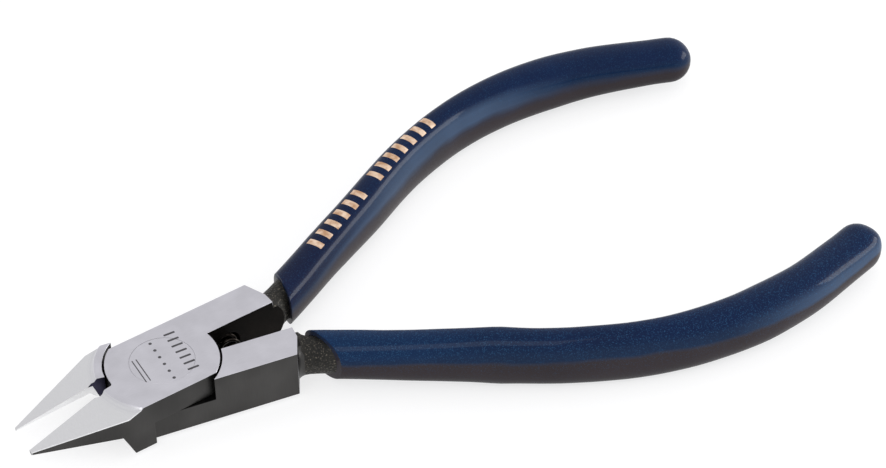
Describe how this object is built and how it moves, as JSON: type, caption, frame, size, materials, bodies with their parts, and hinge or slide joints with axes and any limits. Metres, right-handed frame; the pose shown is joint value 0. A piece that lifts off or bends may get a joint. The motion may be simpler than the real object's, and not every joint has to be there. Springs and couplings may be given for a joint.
{
  "type": "side-cutting nippers",
  "caption": "Hand nippers with thin flush side-cutting jaws, a lap joint on a flush rivet, a coil return spring and two long bowed handles dipped in soft vinyl.",
  "frame": {"origin": "on the joint's axis, on the flush lower head of the rivet, which lies in the joint's lower face", "axes": "+X from the joint towards the handles, so the jaws point along -X. +Z along the joint's axis, from the lower face to the upper face. +Y to the side of the upper half's handle. The tool is at rest, held open by its spring."},
  "size_m": [0.1238, 0.067, 0.0093],
  "materials": {
    "forged_steel": "ground faces, black oxide left on the tangs",
    "ground_steel": "ground flush",
    "spring_wire": "drawn wire",
    "blue_vinyl": "glossy, with a fine metallic fleck"
  },
  "bodies": {
    "upper": {"upper_half": "forged_steel", "rivet": "ground_steel", "upper_grip": "blue_vinyl", "return_spring": "spring_wire"},
    "lower": {"lower_half": "forged_steel", "lower_grip": "blue_vinyl"}
  },
  "joints": [
    {"name": "pivot", "type": "hinge", "parent": "upper", "child": "lower", "pos_m": [0, 0, 0], "axis": [0, 0, 1], "range_deg": [0, 12], "stiffness_Nm_per_rad": 0.84, "deforming": ["return_spring"]}
  ]
}
